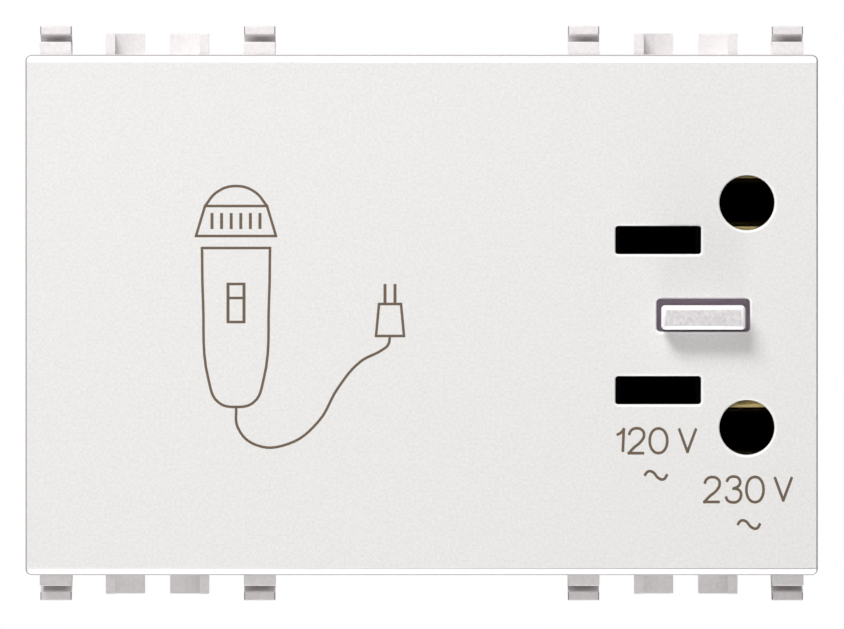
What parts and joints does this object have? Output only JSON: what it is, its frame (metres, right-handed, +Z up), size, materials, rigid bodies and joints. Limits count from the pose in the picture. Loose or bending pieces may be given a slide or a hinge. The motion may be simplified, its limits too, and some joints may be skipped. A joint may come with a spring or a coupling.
{
  "type": "shaver socket",
  "caption": "Three-module shaver supply socket: snap-in housing with isolating transformer, round-pin and flat-blade outlets, and a sprung bar that a plug's face presses.",
  "frame": {"origin": "middle of the module on its seat plane, where the collar and locating ribs meet the mounting frame", "axes": "+X to the right seen from the front, +Y into the wall, +Z up"},
  "size_m": [0.067, 0.044, 0.0488],
  "materials": {
    "cover_plastic": "fine satin, silver-white",
    "plunger_plastic": "fine satin, silver-white",
    "housing_plastic": "moulded light grey",
    "carrier_plastic": "black moulding",
    "button_plastic": "plain",
    "plated_steel": "zinc plated",
    "spring_steel": "drawn wire",
    "contact_brass": "stamped strip",
    "tinned_pins": "tinned",
    "lamination_steel": "stacked laminations",
    "bobbin_plastic": "natural nylon",
    "copper_wire": "enamelled copper",
    "winding_tape": "polyester tape",
    "foam_strip": "foam",
    "disc_coating": "dipped coating",
    "marking_ink": "pad-printed ink",
    "lead_brown": "insulation",
    "lead_blue": "insulation"
  },
  "bodies": {
    "housing": {"bobbin": "bobbin_plastic", "bobbin_pins": "tinned_pins", "carrier_screws": "plated_steel", "common_contact": "contact_brass", "contact_120v": "contact_brass", "contact_230v": "contact_brass", "contact_retainer": "carrier_plastic", "core_e_stack": "lamination_steel", "core_i_stack": "lamination_steel", "core_pad_lower": "foam_strip", "core_pad_upper": "foam_strip", "front_cover": "cover_plastic", "lead_120v": "lead_brown", "lead_230v": "lead_brown", "lead_common": "lead_blue", "lead_line_to_switch": "lead_brown", "lead_neutral": "lead_blue", "lead_switch_to_thermistor": "lead_brown", "lead_thermistor_to_primary": "lead_brown", "plunger_spring": "spring_steel", "primary_tape": "winding_tape", "primary_winding": "copper_wire", "rear_housing": "housing_plastic", "secondary_tape": "winding_tape", "secondary_winding": "copper_wire", "socket_carrier": "carrier_plastic", "switch_case": "carrier_plastic", "switch_terminals": "contact_brass", "terminal_line": "contact_brass", "terminal_neutral": "contact_brass", "thermistor_disc": "disc_coating"},
    "plunger": {"plug_plunger": "plunger_plastic"},
    "button": {"switch_button": "button_plastic"},
    "line_screw": {"line_screw": "plated_steel"},
    "neutral_screw": {"neutral_screw": "plated_steel"}
  },
  "joints": [
    {"name": "plunger_push", "type": "slide", "parent": "housing", "child": "plunger", "axis": [0, 1, 0], "range_m": [0, 0.002], "stiffness_N_per_m": 300, "springref_m": -0.002, "deforming": ["plunger_spring"]},
    {"name": "button_push", "type": "slide", "parent": "housing", "child": "button", "axis": [0, 1, 0], "range_m": [0, 0.002]},
    {"name": "line_screw_drive", "type": "slide", "parent": "housing", "child": "line_screw", "axis": [0, 0, -1], "range_m": [0, 0.0026]},
    {"name": "neutral_screw_drive", "type": "slide", "parent": "housing", "child": "neutral_screw", "axis": [0, 0, 1], "range_m": [0, 0.0026]}
  ],
  "couplings": [
    {"joint": "button_push", "follows": "plunger_push", "ratio": 1}
  ]
}
